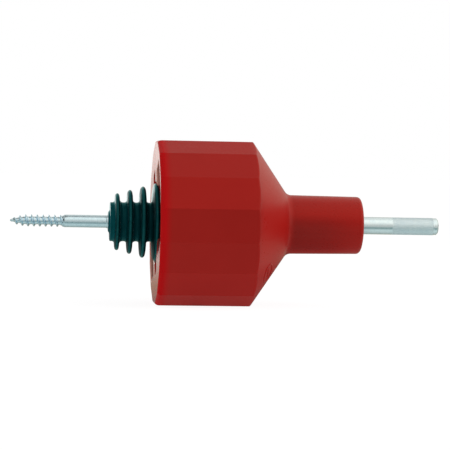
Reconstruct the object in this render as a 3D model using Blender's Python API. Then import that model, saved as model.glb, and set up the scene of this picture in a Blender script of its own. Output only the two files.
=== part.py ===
"""Drill driver for ring insulators, with a screw-in ring insulator loaded in its mouth.

The axis of everything is X. The drill side is +X, the fence post side is -X, and Z is up.
The origin is the centre of the shank's end face, the face that goes into the drill chuck.
Sizes are in millimetres. Stations along the axis are given from the mouth plane of the driver
(0 at the mouth, positive towards the drill); station() moves them to the object's frame.
Four pieces: driver_housing and drive_shank make the driver; insulator_body and wood_screw
make the insulator, which slides out of the mouth along -X.
"""

import math

import bmesh
import bpy
from mathutils import Matrix, Vector

MM = 0.001
GAP = 0.3                  # clearance kept between neighbouring pieces

# ---- driver housing --------------------------------------------------------------------------
SIDES = 16                 # sides of the grip prism
PRISM_R = 38.18            # centre to corner
PRISM_LEN = 43.5           # mouth plane to the start of the cone
CONE_END = 60.5            # where the cone meets the neck
NECK_R = 13.52             # neck radius at the cone
NECK_R_END = 13.16         # neck radius at its free end
NECK_END = 94.75           # end face of the neck
NECK_ROUND = 1.8           # rounding of the neck's free end
CONE_FILLET = 4.0          # hollow fillet between cone and neck
RIM_AXIAL = 2.2            # rounding of the mouth rim, along the axis
RIM_RADIAL = 1.3           # and across it
RIM_ANGLES = (0, 30, 60, 90)

# what is cut into the mouth
SLOT_TILT = 22.5           # degrees the slot leans from vertical, about the axis
SLOT_HALF_LEN = 24.4       # half the slot's length across the mouth
SLOT_HALF_W = 4.3          # half its width
RING_CENTRE = 25.1         # station of the ring head's centre, and of the slot's round bottom
FIN_RECESS_R = 18.6        # round recess that takes the last fin; it opens into the pockets
FIN_RECESS_DEPTH = 2.5
POCKET_R_OUT = 33.0        # cored-out pockets on both sides of the slot
POCKET_FLAT = 13.5         # axis to the wall face next to the slot
POCKET_HALF_LEN = 20.0
POCKET_DEPTH = 39.0
POCKET_CORNER = 2.5

# ---- drive shank -----------------------------------------------------------------------------
SHANK_R = 4.0
SHANK_EXPOSED = 36.5       # from the neck's end face
SHANK_END = NECK_END + SHANK_EXPOSED
SHANK_TAIL_LEN = 2.3       # slightly thinner end, at the drill
SHANK_TAIL_R = 3.85
SHANK_TAIL_STEP = 0.25     # axial length of the step down to it
SHANK_INNER_END = 54.0     # station of its inner end, inside the cone
SHANK_CHAMFER = 0.6
SHANK_FLAT = 3.2           # centre to flat at the keyed inner end
SHANK_FLAT_LEN = 14.0
SHANK_FLAT_BLOCK = (8.0, 5.0)     # half width and thickness of the block that cuts a flat
SHANK_GROOVES = (4.0, 9.0)        # groove centres, from the end of the flats
SHANK_GROOVE = (0.6, 1.4, 0.8)    # depth, half width at the surface, half width at the floor

# ---- insulator body --------------------------------------------------------------------------
CORE_R = 8.89
CORE_END = -20.65          # its free end, towards the post
CORE_CHAMFER = 0.3
BOSS_R = 5.6
BOSS_H = 0.75
BOSS_BEVEL = 1.2           # how much the boss narrows to its end face
# Each fin: station, radius, half thickness at the core, half thickness where the tip starts.
FINS = (
    (-17.4, 13.0, 1.32, 0.95),
    (-11.64, 14.6, 1.44, 1.02),
    (-5.71, 16.25, 1.6, 1.12),
    (0.2, 17.75, 1.68, 1.15),
)
# Round fin tip, in tip half thicknesses: offset along the axis, drop below the fin's radius.
FIN_TIP = ((-1.0, 1.25), (-0.66, 0.4), (0.0, 0.0), (0.66, 0.4), (1.0, 1.25))
FIN_FOOT_R = 0.8           # fillet at the foot
FIN_FOOT_MID = 0.25        # its middle point, as a share of the fillet on both axes
FIN_FOOT_LEAN = 0.04       # how far the flank leans in over the fillet's height
RING_R_OUT = 23.0          # ring head
RING_DEPTH = 6.4           # its section, in the ring's radial direction
RING_WIDTH = 7.4           # and across the slot
RING_POWER = 0.8           # exponent that squares the oval section up a little
WEB_HALF_W = 9.0           # web that ties the ring to the core
WEB_END = 9.0
WEB_BEVEL_START = 4.0      # station where the web starts to narrow
WEB_BEVEL = 1.5            # how much each side narrows
WEB_INSET = 0.35           # web face below the ring's widest point
SLIT_ANGLE = 52.0          # where the wire-entry slit crosses the ring, from its drill end
SLIT_SKEW = 38.0           # how much the slit is slanted
SLIT_WIDTH = 2.4
SLIT_HALF_LEN = 12.0       # half the length of the slit's cutter

# ---- wood screw ------------------------------------------------------------------------------
SCREW_R = 2.85
SCREW_TIP = -65.75
SCREW_TIP_FACE = 0.0001    # offset of the first section from the tip
POINT_LEN = 6.8
POINT_TIP_SHARE = 0.16     # share of the root radius left at the very tip
POINT_POWER = 0.8          # exponent of the point's taper
POINT_THREAD_SHARE = 0.45  # share of the point over which the thread grows to full height
THREAD_END = -41.2
THREAD_ROOT_R = 1.8
THREAD_CREST_R = 2.72
THREAD_PITCH = 2.63
THREAD_PHASE = 0.863       # in turns
THREAD_CREST_HALF = 0.16   # half the crest's width
THREAD_FLANK = 0.55        # axial width of one flank
THREAD_RUN_OUT = 3.2       # length over which the root swells to the plain part
SCREW_INNER_END = -1.6
SCREW_CHAMFER = 0.4
SCREW_COLLAR_R = 3.1
SCREW_COLLAR = (-0.9, 1.0)        # start and end of the collar, from the core's free end
SCREW_COLLAR_BEVEL = 0.4
SCREW_FLAT = 2.0
SCREW_FLAT_LEN = 7.0
SCREW_FLAT_BLOCK = (6.0, 4.0)     # as for the shank
SCREW_GROOVES = (5.0, 9.0)        # groove centres, from the core's free end
SCREW_GROOVE = (0.45, 0.9, 0.5)   # as for the shank

# ---- how far the cutting solids run past the faces they open ---------------------------------
BLANK_OVER_MOUTH = 3.0
BLANK_OVER_PRISM = 1.5
PRISM_OVER = 5.0
RECESS_OVER = 5.0
SLOT_OVER = 6.0
POCKET_OVER = 4.0
SOCKET_OVER = 3.0
FLAT_OVER = 2.0
SLIT_OVER = 4.0

# ---- segment counts --------------------------------------------------------------------------
ROUND = 48                 # large turned pieces
BODY_ROUND = 40            # insulator core and fins
FINE = 32                  # small turned pieces
SCREW_SEGS = 18            # round the screw
PER_PITCH = 7              # sections along one thread pitch
RING_STEPS = 36            # round the ring head
RING_SECTION_POINTS = 12
FILLET_STEPS = 5
NECK_ROUND_STEPS = 3
SLOT_STEPS = 24
POCKET_STEPS = 14

# Unit vectors: along X, and in the YZ plane along the slot and across it.
TILT = math.radians(SLOT_TILT)
AXIAL = Vector((1.0, 0.0, 0.0))
ALONG = Vector((0.0, math.sin(TILT), math.cos(TILT)))
ACROSS = Vector((0.0, math.cos(TILT), -math.sin(TILT)))


def station(x):
    """Object X in metres of a station in millimetres from the mouth."""
    return (x - SHANK_END) * MM


def axis_point(x):
    return Vector((station(x), 0, 0))


# ---- objects and booleans --------------------------------------------------------------------
def add_object(name, bm, mat=None):
    bmesh.ops.remove_doubles(bm, verts=bm.verts, dist=1e-7)
    bmesh.ops.recalc_face_normals(bm, faces=bm.faces)
    mesh = bpy.data.meshes.new(name)
    bm.to_mesh(mesh)
    bm.free()
    if mat is not None:
        mesh.materials.append(mat)
    ob = bpy.data.objects.new(name, mesh)
    bpy.context.collection.objects.link(ob)
    return ob


def add_tool(name, bm):
    """A helper object for a boolean; bake() of its target removes it."""
    ob = add_object(name, bm)
    ob.hide_render = True
    return ob


def boolean(target, tool, operation="DIFFERENCE"):
    mod = target.modifiers.new(operation.lower() + "_" + tool.name, "BOOLEAN")
    mod.operation = operation
    mod.solver = "EXACT"
    mod.object = tool


def cut_both_sides(target, name, outline, start, length):
    """Cuts a bar along the axis and its mirror image across the slot. outline: (along, across)."""
    for i, side in enumerate((1, -1)):
        mirrored = [(u, w * side) for u, w in outline]
        bar = extruded(mirrored, ALONG, ACROSS, AXIAL, axis_point(start), length)
        boolean(target, add_tool(f"{name}_{i}", bar))


def cut_flats(target, name, half_flat, block, start, length):
    """Cuts two flats, each half_flat from the axis."""
    half_width, thickness = block
    top = half_flat + thickness
    outline = [(-half_width, half_flat), (half_width, half_flat), (half_width, top),
               (-half_width, top)]
    cut_both_sides(target, name, outline, start, length)


def bake(ob, sharp_angle=35):
    """Applies the booleans and removes their tools. Edges sharper than sharp_angle, in degrees,
    stay crisp."""
    tools = [mod.object for mod in ob.modifiers]
    depsgraph = bpy.context.evaluated_depsgraph_get()
    mesh = bpy.data.meshes.new_from_object(ob.evaluated_get(depsgraph), depsgraph=depsgraph)
    # The evaluated mesh may come without its material slots.
    if not mesh.materials:
        for mat in ob.data.materials:
            mesh.materials.append(mat)
    ob.modifiers.clear()
    ob.data = mesh
    for tool in tools:
        bpy.data.objects.remove(tool, do_unlink=True)
    bm = bmesh.new()
    bm.from_mesh(mesh)
    bmesh.ops.remove_doubles(bm, verts=bm.verts, dist=1e-6)
    bmesh.ops.dissolve_degenerate(bm, dist=1e-6, edges=bm.edges)
    bm.to_mesh(mesh)
    bm.free()
    mesh.shade_smooth()
    mesh.set_sharp_from_angle(angle=math.radians(sharp_angle))


# ---- solids and outlines ---------------------------------------------------------------------
def turned(profile, segments):
    """A solid turned about X. profile: (station, radius), from one end of the axis to the other."""
    bm = bmesh.new()
    verts = [bm.verts.new((station(x), 0.0, r * MM)) for x, r in profile]
    edges = [bm.edges.new(pair) for pair in zip(verts, verts[1:])]
    bmesh.ops.spin(bm, geom=verts + edges, cent=(0, 0, 0), axis=AXIAL, angle=2 * math.pi,
                   steps=segments, use_merge=True, use_duplicate=False)
    return bm


def extruded(outline, vec_u, vec_w, direction, start, depth):
    """A prism. outline: (u, w) pairs in mm laid out on vec_u and vec_w from the point start
    (object metres), swept by depth (mm) along direction."""
    bm = bmesh.new()
    face = bm.faces.new([bm.verts.new(start + vec_u * (u * MM) + vec_w * (w * MM))
                         for u, w in outline])
    swept = bmesh.ops.extrude_face_region(bm, geom=[face])
    moved = [item for item in swept["geom"] if isinstance(item, bmesh.types.BMVert)]
    bmesh.ops.translate(bm, verts=moved, vec=direction * (depth * MM))
    return bm


def plate(outline, half_thickness):
    """A plate centred on the slot's plane. outline: (station, along slot)."""
    start = axis_point(0.0) - ACROSS * (half_thickness * MM)
    return extruded(outline, AXIAL, ALONG, ACROSS, start, 2 * half_thickness)


def lofted(rings):
    """A solid skinned over rings of points, with both ends capped."""
    bm = bmesh.new()
    loops = [[bm.verts.new(point) for point in ring] for ring in rings]
    for near, far in zip(loops, loops[1:]):
        for k in range(len(near)):
            after = (k + 1) % len(near)
            bm.faces.new((near[k], near[after], far[after], far[k]))
    bm.faces.new(loops[0])
    bm.faces.new(list(reversed(loops[-1])))
    return bm


def arc(centre_x, centre_r, radius, start, end, steps):
    """Points of an arc in the (station, radius) plane, angles in degrees, both ends included."""
    angles = [math.radians(start + (end - start) * i / steps) for i in range(steps + 1)]
    return [(centre_x + radius * math.cos(a), centre_r + radius * math.sin(a)) for a in angles]


def grooves(centres, radius, shape):
    """Profile points of grooves turned into a cylinder."""
    depth, half_top, half_floor = shape
    floor = radius - depth
    points = []
    for x in centres:
        points += [(x - half_top, radius), (x - half_floor, floor),
                   (x + half_floor, floor), (x + half_top, radius)]
    return points


# ---- drive shank -----------------------------------------------------------------------------
def embedded_shank(extra):
    """Profile of the shank inside the housing, grown by extra all round."""
    r = SHANK_R + extra
    end = SHANK_INNER_END - extra
    flats_end = SHANK_INNER_END + SHANK_FLAT_LEN
    points = [(end, 0.0), (end, r - SHANK_CHAMFER), (end + SHANK_CHAMFER, r)]
    return points + grooves([flats_end + x for x in SHANK_GROOVES], r, SHANK_GROOVE)


def cut_shank_flats(target, name, extra):
    cut_flats(target, name, SHANK_FLAT + extra, SHANK_FLAT_BLOCK,
              SHANK_INNER_END - FLAT_OVER, SHANK_FLAT_LEN + FLAT_OVER)


def build_shank(mat):
    tail = SHANK_END - SHANK_TAIL_LEN
    profile = embedded_shank(0.0) + [
        (tail, SHANK_R),
        (tail + SHANK_TAIL_STEP, SHANK_TAIL_R),
        (SHANK_END - SHANK_CHAMFER, SHANK_TAIL_R),
        (SHANK_END, SHANK_TAIL_R - SHANK_CHAMFER),
        (SHANK_END, 0.0),
    ]
    ob = add_object("drive_shank", turned(profile, FINE), mat)
    cut_shank_flats(ob, "shank_flat", 0.0)
    bake(ob)
    return ob


def shank_socket():
    """Tool for the socket in the housing: the embedded shank grown by the clearance."""
    opening = NECK_END + SOCKET_OVER
    profile = embedded_shank(GAP) + [(opening, SHANK_R + GAP), (opening, 0.0)]
    ob = add_tool("socket_tool", turned(profile, FINE))
    cut_shank_flats(ob, "socket_flat", GAP)
    bake(ob)
    return ob


# ---- driver housing --------------------------------------------------------------------------
def housing_profile():
    """Turned outline of cone and neck, oversize round the prism and past the mouth."""
    slope = (PRISM_R - NECK_R) / (CONE_END - PRISM_LEN)
    cone_angle = math.atan(slope)
    outer = PRISM_R + BLANK_OVER_PRISM
    points = [(-BLANK_OVER_MOUTH, 0.0), (-BLANK_OVER_MOUTH, outer),
              (PRISM_LEN - BLANK_OVER_PRISM / slope, outer)]
    # The fillet touches the cone and the neck at equal distances from where they meet.
    reach = CONE_FILLET * math.tan(cone_angle / 2.0)
    points += arc(CONE_END + reach, NECK_R + CONE_FILLET, CONE_FILLET,
                  -90.0 - math.degrees(cone_angle), -90.0, FILLET_STEPS)
    points += arc(NECK_END - NECK_ROUND, NECK_R_END - NECK_ROUND, NECK_ROUND,
                  90.0, 0.0, NECK_ROUND_STEPS)
    points.append((NECK_END, 0.0))
    return points


def grip_prism():
    """Many-sided bar with a flat facet straight down, so the housing rests on it. It starts at
    the mouth plane, where the rim is rounded along every side."""
    half = math.pi / SIDES
    apothem = PRISM_R * math.cos(half)
    sections = []
    for degrees in RIM_ANGLES:
        angle = math.radians(degrees)
        sections.append((RIM_AXIAL * (1.0 - math.cos(angle)),
                         apothem - RIM_RADIAL * (1.0 - math.sin(angle))))
    sections.append((NECK_END + PRISM_OVER, apothem))
    corners = [half + 2 * half * k for k in range(SIDES)]
    rings = []
    for x, to_flat in sections:
        r = to_flat / math.cos(half) * MM
        rings.append([(station(x), r * math.cos(a), r * math.sin(a)) for a in corners])
    return lofted(rings)


def fin_recess():
    return turned([(-RECESS_OVER, 0.0), (-RECESS_OVER, FIN_RECESS_R),
                   (FIN_RECESS_DEPTH, FIN_RECESS_R), (FIN_RECESS_DEPTH, 0.0)], ROUND)


def ring_slot():
    """Slot for the ring head: straight sides, then a round bottom that follows the ring."""
    bottom = arc(RING_CENTRE, 0.0, SLOT_HALF_LEN, 90, -90, SLOT_STEPS)
    outline = [(-SLOT_OVER, SLOT_HALF_LEN)] + bottom + [(-SLOT_OVER, -SLOT_HALF_LEN)]
    return plate(outline, SLOT_HALF_W)


def pocket_outline():
    """One pocket seen along the axis, as (along slot, across slot): an outer arc, two blunt ends
    and the straight wall beside the slot."""
    end_angle = math.asin(POCKET_HALF_LEN / POCKET_R_OUT)
    limit = end_angle - POCKET_CORNER / POCKET_R_OUT
    angles = [-limit + 2 * limit * i / POCKET_STEPS for i in range(POCKET_STEPS + 1)]
    outer = [(POCKET_R_OUT * math.sin(a), POCKET_R_OUT * math.cos(a)) for a in angles]
    end_top = POCKET_R_OUT * math.cos(end_angle) - POCKET_CORNER
    end_side = [(POCKET_HALF_LEN, end_top),
                (POCKET_HALF_LEN, POCKET_FLAT + POCKET_CORNER),
                (POCKET_HALF_LEN - POCKET_CORNER, POCKET_FLAT)]
    return outer + end_side + [(-u, w) for u, w in reversed(end_side)]


def build_housing(mat):
    ob = add_object("driver_housing", turned(housing_profile(), ROUND), mat)
    boolean(ob, add_tool("prism_tool", grip_prism()), "INTERSECT")
    boolean(ob, add_tool("recess_tool", fin_recess()))
    boolean(ob, add_tool("slot_tool", ring_slot()))
    cut_both_sides(ob, "pocket_tool", pocket_outline(), -POCKET_OVER, POCKET_DEPTH + POCKET_OVER)
    boolean(ob, shank_socket())
    # The facets of the grip meet at a small angle and must stay crisp.
    bake(ob, sharp_angle=18)
    return ob


# ---- wood screw ------------------------------------------------------------------------------
def thread_radius(x, turn):
    """Radius of the threaded end at a station and an angle (in turns)."""
    from_tip = x - SCREW_TIP
    growth = (1.0 - POINT_TIP_SHARE) * (from_tip / POINT_LEN) ** POINT_POWER
    root = THREAD_ROOT_R * min(1.0, POINT_TIP_SHARE + growth)
    height = THREAD_CREST_R - THREAD_ROOT_R
    height *= min(1.0, from_tip / (POINT_THREAD_SHARE * POINT_LEN))
    phase = (from_tip / THREAD_PITCH - turn + THREAD_PHASE) % 1.0
    from_crest = abs(phase - 0.5) * THREAD_PITCH
    ridge = max(0.0, 1.0 - max(0.0, from_crest - THREAD_CREST_HALF) / THREAD_FLANK)
    r = root + height * ridge
    left = THREAD_END - x
    if left < THREAD_RUN_OUT:                # the thread runs out into the plain part
        swell = 1.0 - left / THREAD_RUN_OUT
        r = max(r, root + (SCREW_R - root) * swell * swell)
    return r


def embedded_screw(extra):
    """Profile of the screw inside the core, from the collar's end to the rim of the inner end
    face, grown by extra all round."""
    r = SCREW_R + extra
    collar_end = CORE_END + SCREW_COLLAR[1]
    end = SCREW_INNER_END + extra
    points = [(collar_end, SCREW_COLLAR_R + extra), (collar_end + SCREW_COLLAR_BEVEL, r)]
    points += grooves([CORE_END + x for x in SCREW_GROOVES], r, SCREW_GROOVE)
    return points + [(end - SCREW_CHAMFER, r), (end, r - SCREW_CHAMFER)]


def cut_screw_flats(target, name, extra):
    cut_flats(target, name, SCREW_FLAT + extra, SCREW_FLAT_BLOCK,
              SCREW_INNER_END - SCREW_FLAT_LEN, SCREW_FLAT_LEN + FLAT_OVER)


def screw_ring(x, radii):
    """Points round the screw at a station, one for each radius."""
    ring = []
    for k, r in enumerate(radii):
        angle = 2 * math.pi * (k / SCREW_SEGS)
        ring.append((station(x), -r * MM * math.sin(angle), r * MM * math.cos(angle)))
    return ring


def build_screw(mat):
    step = THREAD_PITCH / PER_PITCH
    count = int((THREAD_END - SCREW_TIP) / step)
    stations = [SCREW_TIP + SCREW_TIP_FACE] + [SCREW_TIP + step * (i + 1) for i in range(count)]
    rings = [screw_ring(x, [thread_radius(x, k / SCREW_SEGS) for k in range(SCREW_SEGS)])
             for x in stations]
    collar_start = CORE_END + SCREW_COLLAR[0]
    plain = [(THREAD_END, SCREW_R), (collar_start - SCREW_COLLAR_BEVEL, SCREW_R),
             (collar_start, SCREW_COLLAR_R)]
    rings += [screw_ring(x, [r] * SCREW_SEGS) for x, r in plain + embedded_screw(0.0)]
    ob = add_object("wood_screw", lofted(rings), mat)
    cut_screw_flats(ob, "screw_flat", 0.0)
    bake(ob)
    return ob


def screw_socket():
    """Tool for the socket in the core: the embedded screw grown by the clearance."""
    opening = CORE_END - BOSS_H - SOCKET_OVER
    profile = [(opening, 0.0), (opening, SCREW_COLLAR_R + GAP)]
    profile += embedded_screw(GAP) + [(SCREW_INNER_END + GAP, 0.0)]
    ob = add_tool("screw_socket_tool", turned(profile, FINE))
    cut_screw_flats(ob, "screw_socket_flat", GAP)
    bake(ob)
    return ob


# ---- insulator body --------------------------------------------------------------------------
def fin_foot(base_half):
    """Foot fillet as (distance from the fin's middle, height above the core), core first."""
    mid = FIN_FOOT_MID * FIN_FOOT_R
    return [(base_half + FIN_FOOT_R, 0.0), (base_half + mid, mid),
            (base_half - FIN_FOOT_LEAN, FIN_FOOT_R)]


def fin_points(x, radius, base_half, tip_half):
    """One fin: foot fillet, leaning flank and round tip; then the flank and foot back down."""
    foot = fin_foot(base_half)
    rise = [(x - offset, CORE_R + height) for offset, height in foot]
    tip = [(x + offset * tip_half, radius - drop * tip_half) for offset, drop in FIN_TIP]
    fall = [(x + offset, CORE_R + height) for offset, height in reversed(foot)]
    return rise + tip, fall


def body_profile():
    points = [(CORE_END - BOSS_H, 0.0), (CORE_END - BOSS_H, BOSS_R - BOSS_BEVEL),
              (CORE_END, BOSS_R), (CORE_END, CORE_R - CORE_CHAMFER),
              (CORE_END + CORE_CHAMFER, CORE_R)]
    for fin in FINS[:-1]:
        to_tip, fall = fin_points(*fin)
        points += to_tip + fall
    # The last fin ends the turned body with a flat face in place of the second foot.
    last_x, _, last_base_half, _ = FINS[-1]
    to_tip, _ = fin_points(*FINS[-1])
    face = last_x + last_base_half
    return points + to_tip + [(face, CORE_R + FIN_FOOT_R), (face, 0.0)]


def ring_head():
    """An oval section swept round a circle that lies in the slot's plane."""
    half_depth, half_width = RING_DEPTH / 2, RING_WIDTH / 2
    mean = RING_R_OUT - half_depth
    bm = bmesh.new()
    verts = []
    for k in range(RING_SECTION_POINTS):
        angle = 2 * math.pi * k / RING_SECTION_POINTS
        cosine, sine = math.cos(angle), math.sin(angle)
        outward = half_depth * math.copysign(abs(cosine) ** RING_POWER, cosine)
        sideways = half_width * math.copysign(abs(sine) ** RING_POWER, sine)
        point = Vector((station(RING_CENTRE) + (mean + outward) * MM, 0, 0))
        verts.append(bm.verts.new(point + ACROSS * (sideways * MM)))
    edges = [bm.edges.new(pair) for pair in zip(verts, verts[1:] + verts[:1])]
    bmesh.ops.spin(bm, geom=verts + edges, cent=axis_point(RING_CENTRE), axis=ACROSS,
                   angle=2 * math.pi, steps=RING_STEPS, use_merge=True, use_duplicate=False)
    return bm


def web():
    """Web between the core and the ring."""
    start = FINS[-1][0]
    narrow = WEB_HALF_W - WEB_BEVEL
    outline = [(start, -WEB_HALF_W), (WEB_BEVEL_START, -WEB_HALF_W), (WEB_END, -narrow),
               (WEB_END, narrow), (WEB_BEVEL_START, WEB_HALF_W), (start, WEB_HALF_W)]
    return plate(outline, RING_WIDTH / 2 - WEB_INSET)


def wire_slit():
    """Slanted slot through the ring where the wire is let in."""
    angle = math.radians(SLIT_ANGLE)
    radial = AXIAL * math.cos(angle) + ALONG * math.sin(angle)
    tangent = ALONG * math.cos(angle) - AXIAL * math.sin(angle)
    skew = Matrix.Rotation(math.radians(SLIT_SKEW), 3, radial)
    start_radius = RING_R_OUT - RING_DEPTH - SLIT_OVER
    start = axis_point(RING_CENTRE) + radial * start_radius * MM
    half = SLIT_WIDTH / 2
    outline = [(-half, -SLIT_HALF_LEN), (half, -SLIT_HALF_LEN),
               (half, SLIT_HALF_LEN), (-half, SLIT_HALF_LEN)]
    return extruded(outline, skew @ tangent, skew @ ACROSS, radial, start,
                    RING_DEPTH + 2 * SLIT_OVER)


def build_body(mat):
    ob = add_object("insulator_body", turned(body_profile(), BODY_ROUND), mat)
    boolean(ob, add_tool("web_tool", web()), "UNION")
    # The ring is slit before it joins the body, so the slit cuts nothing else.
    ring = add_tool("ring_tool", ring_head())
    boolean(ring, add_tool("slit_tool", wire_slit()))
    bake(ring)
    boolean(ob, ring, "UNION")
    boolean(ob, screw_socket())
    bake(ob)
    return ob


# ---- materials and assembly ------------------------------------------------------------------
def material(name, colour, roughness, metallic):
    mat = bpy.data.materials.new(name)
    mat.use_nodes = True
    bsdf = mat.node_tree.nodes["Principled BSDF"]
    bsdf.inputs["Base Color"].default_value = (*colour, 1.0)
    bsdf.inputs["Roughness"].default_value = roughness
    bsdf.inputs["Metallic"].default_value = metallic
    mat.diffuse_color = (*colour, 1.0)
    return mat


def group(name, children):
    """An empty at the origin that carries its children."""
    empty = bpy.data.objects.new(name, None)
    bpy.context.collection.objects.link(empty)
    for child in children:
        child.parent = empty
    return empty


def main():
    for ob in list(bpy.data.objects):
        bpy.data.objects.remove(ob, do_unlink=True)

    red = material("red_moulding", colour=(0.33, 0.013, 0.010), roughness=0.38, metallic=0.0)
    green = material("green_black_moulding", colour=(0.0016, 0.016, 0.016), roughness=0.35,
                     metallic=0.0)
    zinc = material("zinc_plated_steel", colour=(0.62, 0.68, 0.70), roughness=0.28, metallic=1.0)
    steel = material("shank_steel", colour=(0.60, 0.65, 0.66), roughness=0.30, metallic=1.0)

    housing = build_housing(red)
    shank = build_shank(steel)
    body = build_body(green)
    screw = build_screw(zinc)

    insulator = group("insulator_group", [body, screw])
    group("driver_group", [housing, shank, insulator])


main()
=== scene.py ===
# A screw-in ring insulator seated in the mouth of its red driver, lying level along the X axis.
# The wood screw points to -X and the drive shank to +X; the camera stands on the -Y side.
# Stations are millimetres along the axis from the driver's mouth plane, growing towards +X.
import math

import bmesh
import bpy
import numpy as np
from mathutils import Matrix, Vector


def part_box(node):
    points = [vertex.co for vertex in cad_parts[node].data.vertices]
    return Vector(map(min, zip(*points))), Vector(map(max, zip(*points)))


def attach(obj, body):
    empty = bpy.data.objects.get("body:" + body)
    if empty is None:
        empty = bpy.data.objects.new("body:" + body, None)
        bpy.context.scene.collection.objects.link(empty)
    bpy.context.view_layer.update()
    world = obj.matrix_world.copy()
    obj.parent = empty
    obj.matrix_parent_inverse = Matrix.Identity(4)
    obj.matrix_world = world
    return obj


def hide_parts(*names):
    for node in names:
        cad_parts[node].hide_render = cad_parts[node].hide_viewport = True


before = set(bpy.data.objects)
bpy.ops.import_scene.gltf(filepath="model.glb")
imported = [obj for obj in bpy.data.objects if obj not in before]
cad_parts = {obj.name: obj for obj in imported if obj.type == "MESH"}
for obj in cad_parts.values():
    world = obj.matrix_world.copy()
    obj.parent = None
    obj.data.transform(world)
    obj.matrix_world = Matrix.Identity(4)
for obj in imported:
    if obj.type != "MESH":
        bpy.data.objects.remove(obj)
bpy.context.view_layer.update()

MM = 0.001

# ------------------------------------------------------------------------------------------------
# Shared sizes in mm, the stations among them taken from the CAD boxes
# ------------------------------------------------------------------------------------------------
housing_low, housing_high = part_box("driver_housing")
shank_low, shank_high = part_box("drive_shank")
body_low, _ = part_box("insulator_body")
screw_low, screw_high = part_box("wood_screw")
MOUTH = housing_low.x                           # metres
FLOOR_Z = housing_low.z                         # metres
APOTHEM = housing_high.z / MM
NECK_END = (housing_high.x - MOUTH) / MM
SHANK_END = (shank_high.x - MOUTH) / MM
SHANK_IN = (shank_low.x - MOUTH) / MM           # hidden end, inside the housing
SHANK_R = shank_high.z / MM
SCREW_TIP = (screw_low.x - MOUTH) / MM
SCREW_IN = (screw_high.x - MOUTH) / MM          # hidden end, inside the insulator
BOSS_END = (body_low.x - MOUTH) / MM
RING_CENTRE = 25.1                              # station of the ring head's centre

# The ring head and its slot are turned about X, away from upright.
TILT = math.radians(22.5)
ALONG = np.array([0.0, math.sin(TILT), math.cos(TILT)])     # along the slot, across the mouth
ACROSS = np.array([0.0, math.cos(TILT), -math.sin(TILT)])   # across the slot's width

TOOL_LEAD = 2.0                                 # how far a cutting tool starts outside the part


def station(x):
    """World x in metres of a station in mm."""
    return MOUTH + x * MM


def stations(*values):
    return tuple(station(x) for x in values)


def mm(*lengths):
    return tuple(length * MM for length in lengths)


# ------------------------------------------------------------------------------------------------
# Mesh helpers
# ------------------------------------------------------------------------------------------------
def link(name, mesh):
    piece = bpy.data.objects.new(name, mesh)
    bpy.context.scene.collection.objects.link(piece)
    return piece


def link_bmesh(name, work):
    mesh = bpy.data.meshes.new(name)
    work.to_mesh(mesh)
    work.free()
    return link(name, mesh)


def orient(piece):
    """Turns all face normals outward."""
    work = bmesh.new()
    work.from_mesh(piece.data)
    bmesh.ops.recalc_face_normals(work, faces=work.faces)
    if work.calc_volume(signed=True) < 0:
        bmesh.ops.reverse_faces(work, faces=work.faces)
    work.to_mesh(piece.data)
    work.free()


def tube_mesh(name, rings):
    """Solid through closed rings, an (m, n, 3) array in metres; one face closes each end."""
    m, n = rings.shape[:2]
    i = np.arange(m - 1)[:, None] * n
    j = np.arange(n)[None, :]
    j_next = (j + 1) % n
    quads = np.stack([i + j, i + j_next, i + n + j_next, i + n + j], axis=-1).reshape(-1, 4)
    faces = [tuple(quad) for quad in quads.tolist()]
    faces.append(tuple(range(n - 1, -1, -1)))
    faces.append(tuple(range((m - 1) * n, m * n)))
    mesh = bpy.data.meshes.new(name)
    mesh.from_pydata([tuple(v) for v in rings.reshape(-1, 3).tolist()], [], faces)
    mesh.validate()
    piece = link(name, mesh)
    orient(piece)
    return piece


def torus_mesh(name, rings):
    """Like tube_mesh, but the last ring joins the first."""
    m, n = rings.shape[:2]
    faces = [(i * n + j, ((i + 1) % m) * n + j,
              ((i + 1) % m) * n + (j + 1) % n, i * n + (j + 1) % n)
             for i in range(m) for j in range(n)]
    mesh = bpy.data.meshes.new(name)
    mesh.from_pydata([tuple(v) for v in rings.reshape(-1, 3).tolist()], [], faces)
    piece = link(name, mesh)
    orient(piece)
    return piece


def axis_rings(x, radius, y_parts, z_parts):
    """Rings round the axis. x and radius in mm, one row per ring, as a column or a full grid;
    y_parts and z_parts give each column's direction."""
    rings = np.empty((len(x), len(y_parts), 3))
    rings[:, :, 0] = MOUTH + x * MM
    rings[:, :, 1] = radius * MM * y_parts
    rings[:, :, 2] = radius * MM * z_parts
    return rings


def turned(name, profile, segments):
    """Turned solid; profile: (station, radius) pairs, radii above zero."""
    profile = np.array(profile, float)
    angles = np.linspace(0, 2 * math.pi, segments, endpoint=False)
    return tube_mesh(name, axis_rings(profile[:, :1], profile[:, 1:],
                                      np.cos(angles), np.sin(angles)))


def loft(name, sections):
    """sections: (station, loop of (along, across) pairs in mm), same count in each."""
    rings = []
    for x, loop in sections:
        points = loop[:, :1] * MM * ALONG + loop[:, 1:] * MM * ACROSS
        points[:, 0] = station(x)
        rings.append(points)
    return tube_mesh(name, np.array(rings))


def block(name, size, place=Matrix.Identity(4)):
    """Box of the given size in mm, its corners moved by the matrix."""
    work = bmesh.new()
    bmesh.ops.create_cube(work, size=1.0)
    bmesh.ops.scale(work, verts=work.verts, vec=mm(*size))
    bmesh.ops.transform(work, verts=work.verts, matrix=place)
    return link_bmesh(name, work)


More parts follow.
